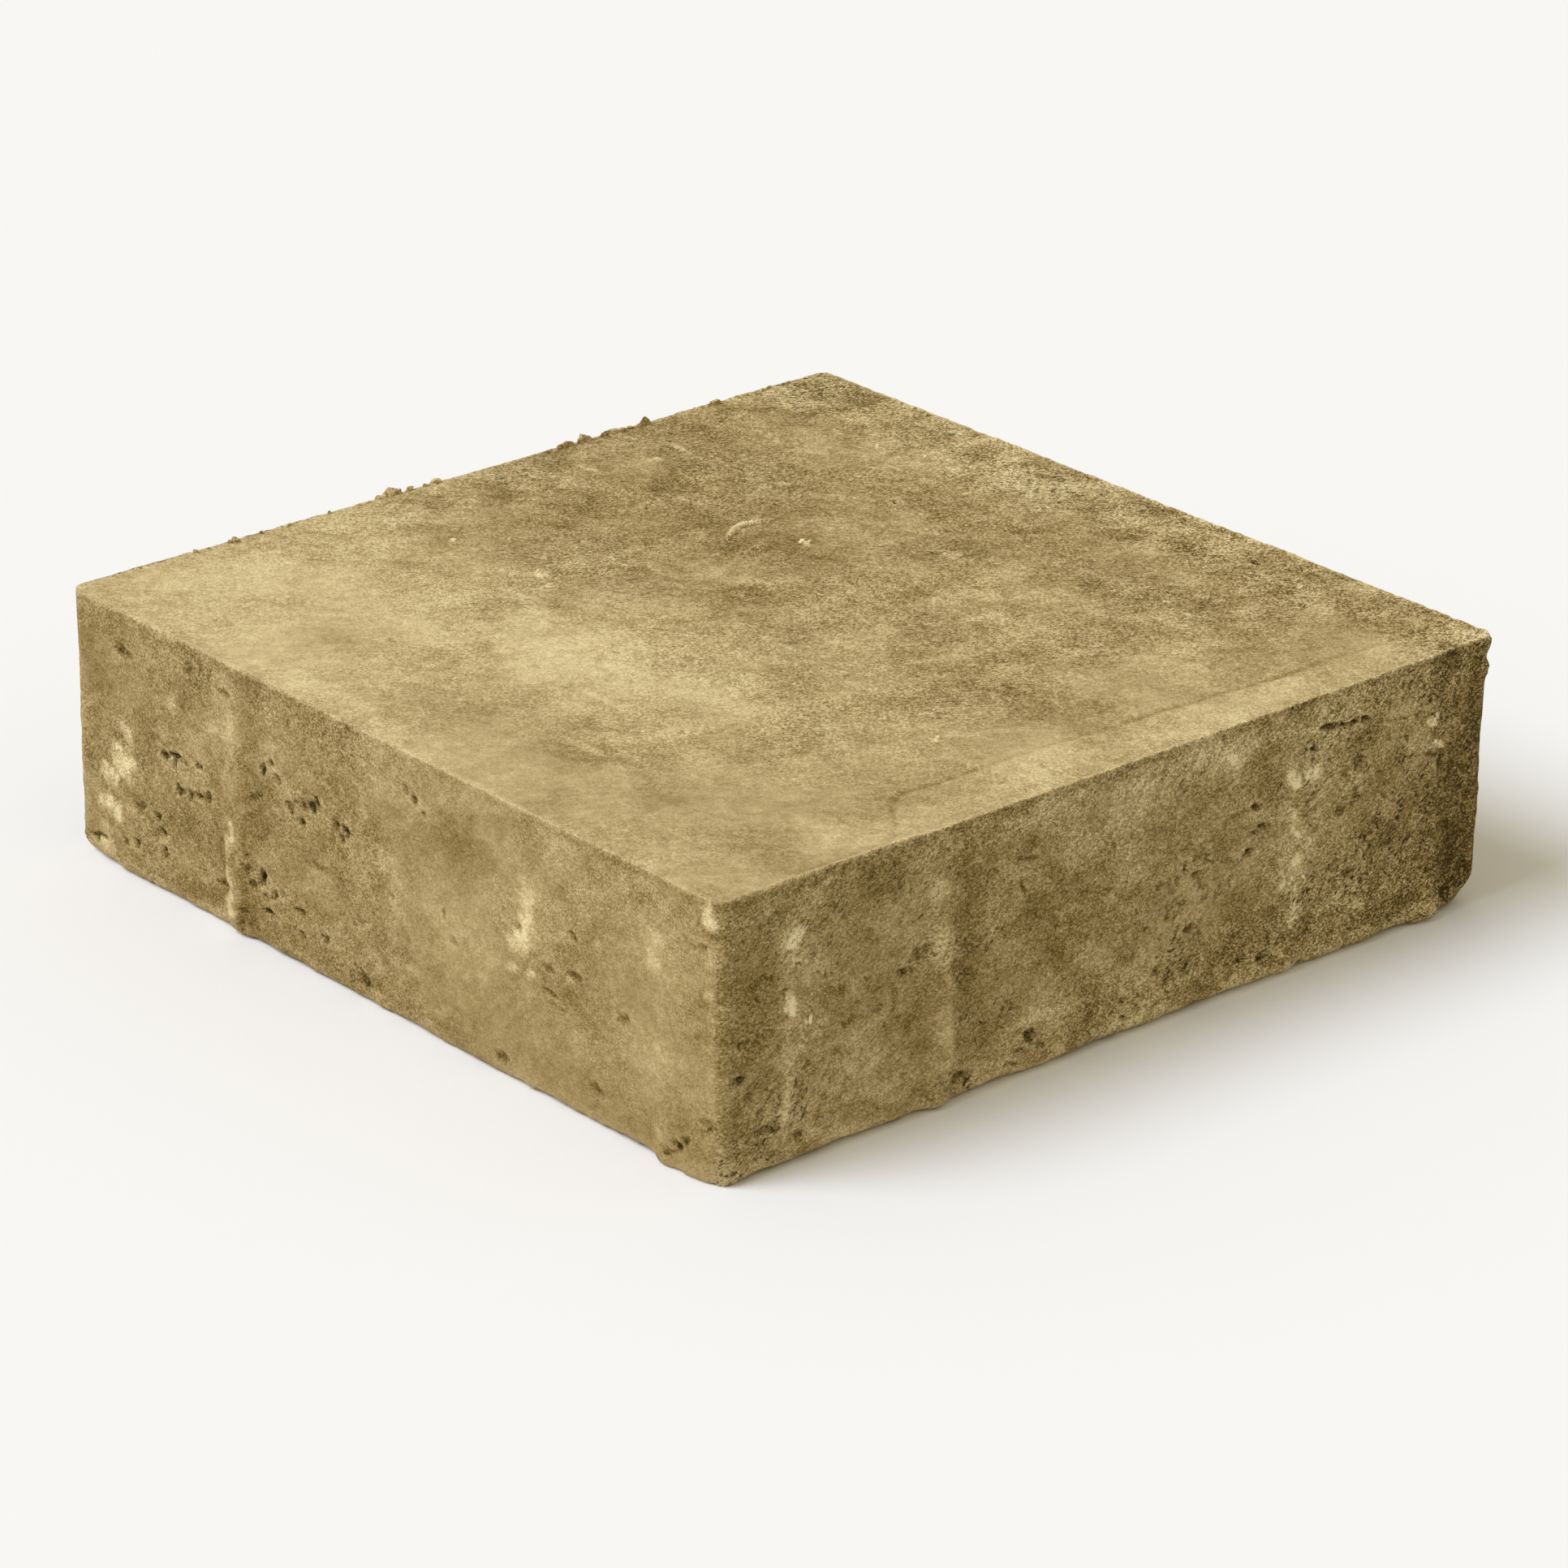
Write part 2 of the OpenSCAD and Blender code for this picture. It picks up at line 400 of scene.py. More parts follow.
def nib_weight(co, side, axis, sign):
    """How far a point of a side stands out on the nibs: 1 at the foot of an unworn nib."""
    if co[axis] * sign < HALF - ARRIS_RADIUS - 0.5 * MM:
        return 0.0
    along = co[1 - axis]
    order = sorted(NIB_OFFSETS) if side in ("south", "east") else sorted(NIB_OFFSETS, reverse=True)
    place = min(order, key=lambda middle: abs(along - middle))
    wander = 0.8 * MM * noise.noise(co / (7 * MM)) + 1.6 * MM * noise.noise(co / (19 * MM))
    near = abs(along - place + wander)
    if near > NIB_HALF_WIDTH:
        return 0.0
    low = 1 - smooth(12 * MM, 26 * MM, co.z)
    foot = 1 - smooth(5 * MM, 10 * MM, co.z)
    left = NIB_LEFT[side][order.index(place)]
    # A nib that is well kept has a flat tip and steep flanks, and a worn one is a soft swelling.
    crisp = smooth(0.3, 1.0, left)
    tip = (0.1 + (0.2 + 1.0 * low) * crisp) * MM
    rim = (4.9 - (0.3 + 1.2 * low) * crisp) * MM
    flank = 1 - smooth(tip, rim, near)
    lead_in = 1 - smooth(NIB_TOP - NIB_LEAD_IN, NIB_TOP + 1.5 * MM, co.z)
    proud = 0.30 + 0.70 * low
    worn = left + (1 - left) * 0.12 * foot
    rubbed = 0.65 + 0.35 * patchy(co + Vector((along, 0, 0)), 5 * MM, 0.3, 0.6)
    return flank * lead_in * proud * worn * rubbed


def wall_weight(co):
    """1 on the four sides below the fine face mix, less on the mix, and 0 on the wearing face."""
    if max(abs(co.x), abs(co.y)) < HALF - 3.5 * MM:
        return 0.0
    face_mix = 0.65 * smooth(BOND - 1.5 * MM, BOND + 2.5 * MM, co.z)
    return 1 - face_mix - 0.25 * smooth(TOP - 1 * MM, TOP, co.z)


def top_weight(co):
    """1 on the wearing face away from its arris."""
    if co.z < TOP - NEAR:
        return 0.0
    return smooth(0, 2 * MM, HALF - max(abs(co.x), abs(co.y)))


# How badly the lower arris of each side is torn. The wearing face has none.
FOOT_TORN = {"south": 0.45, "east": 1.0, "north": 0.7, "west": 0.8, "top": 0.0}


def foot_weight(co):
    """Most along the bottom of the sides, where the lower arris is ragged."""
    if max(abs(co.x), abs(co.y)) < HALF - ARRIS_RADIUS - 0.2 * MM:
        return 0.0
    low = 1 - smooth(2 * MM, 9 * MM, co.z)
    return FOOT_TORN[side_of(co)[0]] * low * patchy(co, 14 * MM, 0.25, 0.6)


def pitted_weight(co):
    """Where the small air holes crowd together on the sides."""
    side, along, _ = side_of(co)
    share = 1 - 0.85 * smooth(95, 125, along) if side == "south" else 1.0
    below_bond = 1 - smooth(BOND - 4 * MM, BOND, co.z)
    return share * wall_weight(co) * patchy(co + Vector((0.3, 0, 0)), 22 * MM, 0.5, 0.72) * below_bond


def margin_line(x, y):
    """How far a place on the wearing face is outside the crease of the rolled margin, in millimetres: first
    for the east margin, which turns out to the arris near the front, then for the west and south ones."""
    crease = 191.5 + 5.5 * smooth(60, 200, y) + 15 * (1 - smooth(42, 60, y))
    crease += 0.8 * noise.noise(Vector((y / 14, 0, 0)))
    west = (8.0 + 2.0 * noise.noise(Vector((y / 25, 5, 0)))) - x
    south = (9.5 + 3.0 * noise.noise(Vector((x / 30, 9, 0)))) - y
    return x - crease, max(west, south)


def margin_drop(co):
    """The gentle roll-off towards the arris, deepest at the edge."""
    if co.z < TOP - NEAR:
        return 0.0
    x, y = co.x / MM + SIZE / 2, co.y / MM + SIZE / 2
    east, others = margin_line(x, y)
    groove = 0.35 * math.exp(-(east / 0.8) ** 2) * smooth(40, 60, y)
    return groove + 0.8 * smooth(0, 14, east) + 0.5 * smooth(0, 10, others)


def corner_lip(co):
    """The crumbling lip that stands out down the upper part of the far corner of the east side."""
    if min(co.x, co.y) < HALF - 4.5 * MM or co.z < TOP - 11 * MM:
        return 0.0
    near = smooth(HALF - 4.5 * MM, HALF - 2 * MM, min(co.x, co.y))
    near *= smooth(TOP - 11 * MM, TOP - 7 * MM, co.z)
    near *= 1 - 0.5 * smooth(TOP - 0.7 * MM, TOP, co.z)
    return near * (0.60 + 0.55 * noise.noise(co / (2.6 * MM)) + 0.4 * noise.noise(co / (1.2 * MM)))


def knocked_heel(co):
    """How far the lowest tip of a corner is knocked in: most at the far corner of the east side."""
    if co.z > 8 * MM or min(abs(co.x), abs(co.y)) < HALF - 10 * MM:
        return 0.0
    tip = Vector((math.copysign(HALF, co.x), math.copysign(HALF, co.y), 0))
    share = 1.0 if min(co.x, co.y) > 0 else 0.5
    return share * (1 - smooth(1 * MM, 10 * MM, (co - tip).length)) * (1 - smooth(2 * MM, 8 * MM, co.z))


def burr_height(co):
    """The thin torn lip that the press leaves along the top arris: least on the east and south, most on the
    north."""
    edge = HALF - 0.6 * MM
    if co.z < TOP - NEAR or max(abs(co.x), abs(co.y)) < edge:
        return 0.0
    waves = 0.10 if co.x > edge or co.y < -edge else 0.30
    lip = 0.25 if co.y > edge else 0.05
    lip += 0.25 * noise.noise(co / (2.3 * MM)) + waves * noise.noise(co / (11 * MM))
    return max(lip, 0.0)


def press_and_wear(blank):
    """Pushes out the nibs, then gives the block its knocked corners, rolled margin, dents, air holes,
    raised skins, ragged lower arris, burr and lip."""
    for name, axis, sign in SIDES:
        paint_group(blank, "nibs_" + name, lambda co: nib_weight(co, name, axis, sign))
        displace(blank, sign * NIB_PROUD, group="nibs_" + name, mid=0.0, direction="XY"[axis])
    for name, weight in (("walls", wall_weight), ("top", top_weight), ("foot", foot_weight),
                         ("pitted", pitted_weight), ("pits", pit_depth), ("lumps", lump_height),
                         ("margin", margin_drop), ("burr", burr_height), ("lip", corner_lip)):
        paint_group(blank, name, weight)
    for name, axis, sign in SIDES:
        paint_group(blank, "heels_" + name, lambda co: knocked_heel(co) if co[axis] * sign > 0 else 0.0)
        displace(blank, -2.0 * sign * MM, group="heels_" + name, mid=0.0, direction="XY"[axis])
    displace(blank, -0.6 * MM, group="margin", mid=0.0, direction="Z")
    displace(blank, 0.8 * MM, clouds("wall_sway", 40 * MM, 1), "walls")
    displace(blank, 0.75 * MM, clouds("wall_dents", 12 * MM, 3), "walls")
    displace(blank, 0.35 * MM, clouds("wall_roughness", 2.2 * MM, 2), "walls")
    displace(blank, 0.8 * MM, clouds("top_sway", 45 * MM, 1), "top", direction="Z")
    displace(blank, 0.9 * MM, clouds("top_dents", 12 * MM, 3), "top", direction="Z")
    displace(blank, 0.35 * MM, clouds("top_roughness", 2.6 * MM, 3), "top", direction="Z")
    displace(blank, -0.9 * MM, hollows("ragged_hollows", 4.0 * MM, 0.62, 0.78), "pitted", mid=0.0)
    displace(blank, -1.5 * MM, clouds("torn_foot", 13 * MM, 3, 1.5), "foot", mid=0.35)
    displace(blank, TALLEST * MM, group="lumps", mid=0.0)
    displace(blank, -DEEPEST * MM, group="pits", mid=0.0)
    displace(blank, 1.0 * MM, group="burr", mid=0.0, direction="Z")
    displace(blank, 1.3 * MM, group="lip", mid=0.0)
    apply_modifiers(blank)
    for vertex in blank.data.vertices:
        vertex.co.z = max(vertex.co.z, 0.0)


# How far out each ring of the bed face lies, as a share of the way from the middle to the rim.
BED_RINGS = (0.994, 0.985, 0.97, 0.95, 0.92, 0.88, 0.80, 0.70, 0.58, 0.44, 0.30, 0.16, 0.06)


def close_bed(blank):
    """Draws the lower rim in to the middle, ring by ring, to make the bed face."""
    bpy.ops.object.mode_set(mode="EDIT")
    pick(blank, "edges", lambda e: e.is_boundary)
    last = 1.0
    for ring in BED_RINGS:
        bpy.ops.mesh.extrude_region_move()
        bpy.ops.transform.resize(value=(ring / last, ring / last, 1), center_override=(0, 0, 0))
        last = ring
    bpy.ops.mesh.edge_face_add()
    bpy.ops.object.mode_set(mode="OBJECT")


def split_at_bond(blank):
    """Parts the worn block into its face layer and its core, and closes each at the bond."""
    mark = blank.data.attributes["above_bond"].data
    above = {i for i in range(len(mark)) if mark[i].value > 0.5}
    bpy.ops.object.mode_set(mode="EDIT")
    pick(blank, "faces", lambda f: all(v.index in above for v in f.verts))
    bpy.ops.mesh.separate(type="SELECTED")
    bpy.ops.object.mode_set(mode="OBJECT")
    layer = [o for o in bpy.context.selected_objects if o is not blank][0]
    layer.name = layer.data.name = "face_layer_pressed"
    blank.name = blank.data.name = "core_block_cast"
    for piece in (layer, blank):
        make_active(piece)
        bpy.ops.object.mode_set(mode="EDIT")
        pick(piece, "edges", lambda e: e.is_boundary)
        bpy.ops.mesh.edge_face_add()
        bpy.ops.mesh.select_all(action="SELECT")
        bpy.ops.mesh.normals_make_consistent(inside=False)
        bpy.ops.object.mode_set(mode="OBJECT")
        bpy.ops.object.shade_smooth_by_angle(angle=math.radians(55))
    return layer, blank


def store(piece, name, values):
    """Keeps one number for each vertex under a name, for the material to read."""
    attribute = piece.data.attributes.new(name, "FLOAT", "POINT")
    attribute.data.foreach_set("value", values)


def hollowness(piece, rounds=3):
    """How far each vertex lies below the average of those around it, in tenths of a millimetre."""
    mesh = bmesh.new()
    mesh.from_mesh(piece.data)
    mesh.normal_update()
    mesh.verts.ensure_lookup_table()
    rings = [[e.other_vert(v).index for e in v.link_edges] for v in mesh.verts]
    places = [v.co.copy() for v in mesh.verts]
    soft = places
    for _ in range(rounds):
        soft = [sum((soft[j] for j in ring), soft[i]) / (len(ring) + 1)
                for i, ring in enumerate(rings)]
    deep = [(soft[i] - places[i]).dot(v.normal) / (0.1 * MM) for i, v in enumerate(mesh.verts)]
    mesh.free()
    return deep


# ---------------------------------------------------------------- how pale each place is

# Chalky scuffs, mostly where the nibs have rubbed: (along, down, radius along, radius down, strength).
SOUTH_SCUFFS = (
    (19, 27, 2.2, 3, 0.7), (17, 34, 4.4, 4, 1.0), (13, 38, 4.0, 2.6, 1.0), (12, 46, 4.2, 3.4, 1.0),
    (10, 53, 3.0, 3.6, 0.7), (20, 30, 1.6, 5, 0.4), (1, 34, 1.5, 9, 0.7), (53, 17, 4.4, 5, 0.22),
    (53, 27, 4.0, 7, 0.26), (54.4, 39, 1.7, 5, 0.65), (54.6, 47, 1.5, 4, 0.6),
    (54.5, 36.7, 1.3, 1.6, 1.0), (55.2, 52.3, 1.5, 1.5, 1.0), (53.6, 54, 1.8, 2.5, 1.0),
    (151, 18, 2.0, 4, 0.55), (151, 25, 3.0, 5, 0.8), (148, 29, 4.4, 1.6, 0.7), (147, 35, 3.0, 1.3, 0.8),
    (152, 34, 1.6, 1.8, 0.7), (189, 16, 3.6, 6, 0.35), (204.5, 4, 1.8, 2.2, 1.0),
    (205, 13, 1.6, 2.0, 0.6), (205, 20, 1.6, 1.4, 0.7), (35, 16, 2.4, 2.2, 0.5),
    (105, 26, 5.0, 3.0, 0.35), (192, 54, 3.0, 1.6, 0.3), (102, 57, 2.0, 1.0, 0.4),
)
EAST_SCUFFS = (
    (19, 13, 1.9, 1.3, 1.35), (21, 12.2, 0.8, 0.9, 1.2), (18.6, 18.6, 1.9, 1.0, 1.1),
    (17.4, 17.6, 0.8, 0.7, 1.1), (18, 26.3, 1.7, 1.8, 1.35), (17.4, 24.4, 0.8, 0.8, 1.2),
    (22.6, 30.4, 0.7, 0.8, 1.4), (22, 31.8, 0.6, 0.8, 1.0), (21, 33.4, 0.6, 0.8, 0.9),
    (20, 35.2, 0.6, 0.9, 0.8), (17.6, 46.5, 1.0, 3.0, 0.5), (17, 35, 2.8, 7, 0.3),
    (16.5, 46, 1.9, 5, 0.6), (19, 16, 5, 9, 0.15), (56, 14, 4.0, 4, 0.30), (57, 26, 3.0, 8, 0.36),
    (58, 45, 3.4, 6, 0.36), (153, 28, 6, 13, 0.22), (152.5, 17, 1.4, 1.6, 1.2),
    (157, 17.5, 1.1, 2.0, 1.1), (152.6, 24.5, 1.1, 1.4, 1.0), (152.2, 28.6, 1.7, 2.0, 1.45),
    (151.2, 16.8, 0.9, 1.1, 1.2), (156.8, 16.4, 0.8, 1.2, 1.1), (156, 31, 1.4, 1.9, 0.7),
    (152.5, 35, 1.2, 1.3, 0.9), (150.5, 39, 1.1, 1.3, 1.1), (152.4, 45.6, 0.9, 0.9, 1.4),
    (155.8, 38.7, 0.7, 0.7, 1.4), (156, 38.5, 0.8, 0.8, 1.0), (152, 42.5, 1.2, 1.1, 0.9),
    (152.5, 47, 1.8, 1.9, 0.8), (158, 26, 1.4, 1.3, 0.5), (192, 14.3, 1.4, 1.0, 1.3),
    (192.5, 20.5, 1.4, 1.1, 1.1), (191, 54, 4.0, 4.6, 0.35), (75, 12, 1.0, 2.0, 0.3),
    (100, 46, 3.0, 2.0, 0.25), (73, 5, 1.0, 1.6, 0.4), (110, 5, 5, 3, 0.25), (84, 48, 6, 0.8, 0.4),
    (172, 52, 3, 3, 0.3),
)
TOP_SCUFFS = (
    (79.6, 133, 2.4, 1.0, 1.0), (58, 79, 1.8, 1.6, 1.0), (55.5, 80, 1.0, 0.9, 0.8),
    (64, 76.5, 0.9, 0.8, 0.8), (31, 77, 1.0, 0.9, 0.9), (37.6, 87, 0.8, 0.8, 0.7),
    (45, 185, 0.8, 0.7, 0.8), (57, 188, 0.9, 0.7, 0.8), (161, 167, 1.4, 0.7, 0.9),
    (153, 168, 0.7, 0.6, 0.7), (176.4, 83, 1.0, 0.9, 0.9), (165, 90.5, 0.6, 3.0, 0.7),
    (96, 188, 1.6, 0.7, 0.5), (32, 184, 2.4, 0.7, 0.6), (135, 28, 8, 1.4, 0.5), (143, 32, 6, 1.0, 0.4),
    (120, 46, 9, 0.9, 0.3), (18, 151, 4.0, 1.0, 0.8), (49, 153, 1.4, 1.2, 0.6),
    (57, 178, 5.0, 0.8, 0.5), (89, 112, 9, 0.6, 0.45), (118, 92, 10, 0.6, 0.4), (128, 168, 9, 0.6, 0.4),
    (104, 152, 6, 0.6, 0.45), (16, 127, 5, 1.2, 0.4), (20, 142, 1.4, 3.4, 0.5),
    (87, 108, 0.8, 4.0, 0.4), (71, 99, 5, 0.8, 0.4), (61.5, 120, 1.4, 1.8, 0.5),
)
SCUFFS = all_round(SOUTH_SCUFFS, EAST_SCUFFS, TOP_SCUFFS)


def scuffed(co):
    """How chalky a place is, from its scuffs."""
    side, along, down = side_of(co)
    along, down = ragged(co, along, down, 2.2 if side != "top" else 0.9, 3.0)
    return min(mound(along, down, SCUFFS[side], 0.3, 1.3), 1.5)


# Broad stains and pale patches: (along, down, radius along, radius down, change). Below 0 is darker.
SOUTH_STAINS = (
    (10, 12, 18, 14, -0.035), (63, 34, 4, 20, -0.08), (150, 24, 12, 12, 0.055), (56, 14, 9, 12, 0.06),
    (24, 8, 10, 7, 0.05), (172, 10, 22, 9, 0.07), (170, 40, 9, 7, 0.05), (126, 12, 16, 10, -0.06),
    (138, 44, 12, 10, -0.03), (104, 38, 12, 8, -0.03), (100, 57, 110, 6, -0.045),
    (16, 40, 9, 16, -0.02), (84, 10, 14, 6, -0.03), (190, 30, 12, 22, 0.025), (136, 38, 6, 6, 0.02),
    (8, 53, 8, 6, -0.06), (88, 52, 12, 6, 0.03), (199, 52, 10, 8, -0.05), (165, 37, 10, 6, -0.04),
    (60, 6, 20, 6, -0.03), (88, 38, 20, 7, -0.03), (8, 22, 8, 7, -0.04), (184, 54, 8, 6, -0.04),
    (128, 38, 12, 7, 0.03),
)
EAST_STAINS = (
    (5, 30, 7, 30, -0.08), (22, 22, 9, 12, 0.05), (38, 8, 14, 6, -0.06), (56, 24, 6, 26, 0.035),
    (62.5, 42, 4.5, 20, -0.075), (112, 6, 16, 7, 0.09), (136, 5, 8, 6, 0.08), (84, 6, 16, 6, 0.07),
    (164, 6, 26, 6, 0.07), (136, 54, 9, 6, 0.05), (154, 36, 10, 14, 0.08), (96, 56, 90, 6, 0.05),
    (170, 50, 14, 8, 0.05), (84, 28, 16, 7, -0.05), (34, 46, 9, 7, 0.05), (48, 46, 5, 9, -0.06),
    (90, 44, 20, 12, 0.03), (80, 12, 22, 8, -0.02), (100, 12, 10, 10, 0.03), (141, 12, 9, 12, -0.045),
    (180, 24, 22, 20, -0.02), (205, 30, 12, 50, -0.18), (80, 54, 7, 5, -0.05), (170, 6, 25, 5, 0.015),
    (194, 40, 6, 20, -0.04), (30, 50, 10, 10, 0.02), (118, 5, 9, 6, 0.065), (136, 54, 8, 6, 0.065),
    (73, 22, 7, 8, 0.065), (184, 6, 9, 6, 0.070), (200, 22, 8, 8, -0.055), (184, 54, 9, 6, -0.055),
    (184, 38, 8, 8, -0.055), (56, 30, 7, 11, -0.025), (112, 38, 12, 7, -0.045), (8, 38, 8, 8, -0.045),
    (136, 7, 22, 8, 0.040), (186, 7, 20, 8, 0.050), (146, 54, 14, 6, 0.070), (104, 54, 7, 6, -0.040),
    (184, 54, 8, 6, -0.040),
)
TOP_STAINS = (
    (25, 40, 34, 34, 0.060), (75, 45, 40, 24, 0.055), (112, 52, 26, 20, 0.045), (12, 12, 26, 14, 0.045),
    (60, 96, 26, 14, 0.020), (40, 24, 50, 30, 0.070), (56, 24, 8, 6, -0.060), (74, 5, 14, 8, 0.070),
    (116, 62, 34, 16, 0.080), (200, 92, 10, 16, 0.090), (190, 138, 18, 20, 0.065),
    (44, 122, 44, 24, -0.085), (102, 170, 28, 12, -0.060), (10, 150, 12, 20, -0.050),
    (202, 24, 12, 9, -0.080), (8, 202, 26, 7, -0.070), (30, 103, 20, 7, -0.060),
    (150, 40, 16, 9, 0.060), (132, 66, 9, 7, 0.050), (184, 8, 10, 8, 0.080), (60, 192, 26, 6, 0.050),
    (110, 118, 14, 8, 0.030), (140, 132, 20, 9, 0.060), (176, 150, 10, 6, 0.060), (24, 62, 9, 8, 0.050),
    (44, 30, 14, 8, -0.055), (100, 22, 20, 9, -0.055), (140, 34, 20, 8, -0.040), (62, 16, 16, 7, 0.040),
    (150, 14, 26, 8, 0.030), (36, 88, 22, 7, -0.050), (90, 98, 16, 9, -0.045),
    (84, 126, 26, 16, -0.030), (150, 120, 34, 24, -0.030), (120, 176, 50, 18, -0.035),
    (60, 160, 34, 24, -0.020), (165, 196, 44, 8, -0.050), (180, 176, 18, 8, 0.035),
    (202, 120, 7, 80, 0.050), (201, 30, 8, 26, 0.045), (178, 60, 14, 14, 0.035),
    (192, 60, 5, 16, -0.025), (182, 110, 8, 30, -0.020), (20, 120, 14, 30, 0.010),
    (8, 60, 10, 60, 0.020), (40, 6, 9, 8, 0.070), (104, 6, 10, 8, 0.070), (120, 8, 7, 8, 0.040),
    (152, 6, 9, 8, -0.060), (168, 24, 9, 9, -0.065), (56, 24, 8, 7, -0.035), (136, 40, 9, 8, 0.070),
    (200, 40, 7, 12, 0.050), (64, 56, 13, 7, 0.060), (31, 72, 13, 8, -0.060), (152, 72, 9, 8, 0.060),
    (35, 188, 22, 14, -0.030), (56, 88, 10, 8, 0.065), (40, 120, 9, 8, -0.055), (72, 136, 9, 8, -0.050),
    (202, 145, 8, 14, 0.055), (136, 152, 9, 8, -0.050), (31, 184, 13, 8, -0.065),
    (24, 202, 12, 8, -0.075), (112, 202, 14, 7, -0.065), (168, 200, 9, 8, 0.055),
    (84, 20, 13, 11, 0.055), (72, 6, 9, 7, 0.030), (72, 104, 9, 8, -0.060), (201, 104, 8, 9, -0.065),
    (136, 184, 9, 8, -0.065), (150, 114, 12, 14, 0.050), (184, 136, 9, 8, -0.055),
    (136, 22, 10, 8, -0.045), (168, 186, 9, 8, -0.045), (88, 134, 9, 9, -0.045), (8, 86, 9, 10, -0.045),
    (120, 201, 9, 7, -0.050), (72, 121, 8, 7, 0.045), (72, 184, 8, 8, 0.045), (104, 78, 9, 10, 0.030),
)
STAINS = all_round(SOUTH_STAINS, EAST_STAINS, TOP_STAINS)

# Painted shade in straight upright bands down the shaded flank beside the nibs, with one painted highlight
# band on the lit flank of an east nib: (along, half width, change).
NIB_FLANK_SHADING = {"east": ((62.8, 3.4, -0.055), (56.0, 3.6, 0.030), (197.5, 2.5, -0.040)),
         "south": ((60.5, 2.4, -0.030),), "north": ((145.0, 3.0, -0.050),),
         "west": ((62.0, 3.0, -0.050),), "top": ()}

# The usual tone of the wearing face and of the sides, as a place on the material's run of colours.
TOP_TONE, SIDE_TONE = 0.615, 0.53


def tone(co):
    """How pale a place is: its usual tone, its stains, painted shade and highlight beside the nibs and at
    the edges, and a painted highlight on the rims of its pits.
    """
    side, along, down = side_of(co)
    pale = TOP_TONE if co.z > TOP - NEAR else SIDE_TONE
    # A painted highlight round each pit, as on a lit raised rim.
    pale += 0.045 * pit_rim_highlight(co)
    # Painted shade and highlight on the flanks of the nibs.
    for a, wide, amount in NIB_FLANK_SHADING[side]:
        pale += amount * math.exp(-((along - a) / wide) ** 2)
    # The outlines of the stains wander by a few millimetres.
    spot = co / (14 * MM)
    stain_along = along + 6 * noise.noise(spot)
    stain_down = down + 4 * noise.noise(spot + Vector((7, 3, 1)))
    for a, d, wide, high, amount in STAINS[side]:
        da, dd = (stain_along - a) / wide, (stain_down - d) / high
        far = da * da + dd * dd
        if far < 5:
            pale += amount * math.exp(-far)
    if side == "top":
        # The rolled margin is a little paler, its crease has painted shade, and the rubbed arris is pale.
        east, others = margin_line(along, down)
        crease = math.exp(-(east / 0.9) ** 2) * patchy(co, 16 * MM, 0.35, 0.6)
        pale += 0.035 * smooth(0, 3, east) + 0.02 * smooth(0, 4, others) - 0.07 * crease
        return pale + 0.04 * math.exp(-(min(SIZE - along, down) / 0.9) ** 2)
    # Painted shade in a dark line under a pale arris, and painted light on the foot, which faces down into
    # shade and is pale of itself.
    crisp = 1.0 if side == "east" else smooth(40, 75, along)
    pale -= 0.06 * crisp * math.exp(-((down - 1.5) / 0.9) ** 2)
    # The last term is painted light that lifts the shade of the downward-facing foot.
    return pale + 0.05 * math.exp(-(down / 0.6) ** 2) + 0.06 * smooth(56, 58.8, stain_down)


# ---------------------------------------------------------------- crumbs and flakes

# Crumbs of paste torn out along the top arris: (x, y, radius), in millimetres.
TORN_CRUMBS = (
    (0, 17.5, 0.35), (0, 31.5, 0.7), (0, 35, 0.4), (0, 40.5, 0.5), (0, 42, 0.8), (0, 48.5, 0.5),
    (0, 54, 0.4), (0, 56, 0.6), (0, 67, 0.5), (0, 75, 0.45), (0, 77.5, 0.55), (0, 80, 0.8),
    (0, 82, 1.2), (0.3, 84, 1.7), (0, 88.5, 0.9), (0, 93, 0.7), (0.3, 95, 1.3), (0, 96.5, 0.7),
    (0, 127, 0.35), (0, 130.5, 0.8), (0.3, 132.8, 1.5), (0, 135.5, 0.8), (0.3, 137.6, 1.5),
    (0, 143.3, 0.8), (0.3, 145, 1.3), (0, 147.3, 1.2), (0, 150.5, 0.8), (0, 153.3, 0.8),
    (0.3, 155, 1.3), (0, 166, 0.4), (0, 169.5, 0.6), (0, 173, 0.7), (0, 175.5, 1.1), (0, 182, 0.5),
    (0, 184.5, 0.5), (0, 187, 0.4), (0, 189, 0.7), (0, 191, 0.5), (0, 197, 0.5), (118, 208, 0.6),
    (121, 208, 0.4), (128, 208, 0.35), (133, 208, 0.4), (156, 208, 0.6), (158, 208, 0.4),
    (165.5, 208, 0.6), (167.5, 208, 0.4), (205.5, 206, 0.8),
)
# Pale grains pressed into the wearing face.
PALE_GRAINS = (
    (79, 133, 0.9), (80.4, 133.4, 0.8), (58, 79, 0.9), (59, 77.8, 0.7), (55.5, 80, 0.5),
    (64, 76.5, 0.5), (31, 77, 0.6), (37.6, 87, 0.4), (45, 185, 0.4), (57, 188, 0.45), (161, 167, 0.6),
    (153, 168, 0.4), (176.4, 83, 0.6), (165, 89, 0.4), (165, 92.5, 0.4), (49, 153, 0.4),
)
# Pale pebbles that show through the east side of the core: ((x, y, z), radii).
PALE_PEBBLES = (((208, 136.5, 4.2), (0.8, 0.9, 0.7)), ((208, 22.6, 29.6), (0.3, 0.7, 0.9)))
# How far in from the block's side the middle of a torn crumb is kept, in millimetres.
CRUMB_INSET = 0.8
# The thin curved flake near the middle of the wearing face: its centre, its radius, the arc it covers in
# degrees, and how many bits it is made of.
FLAKE_CENTRE = (74.0, 130.8)
FLAKE_RADIUS = 10.8
FLAKE_ARC = (150, 234)
FLAKE_BITS = 20


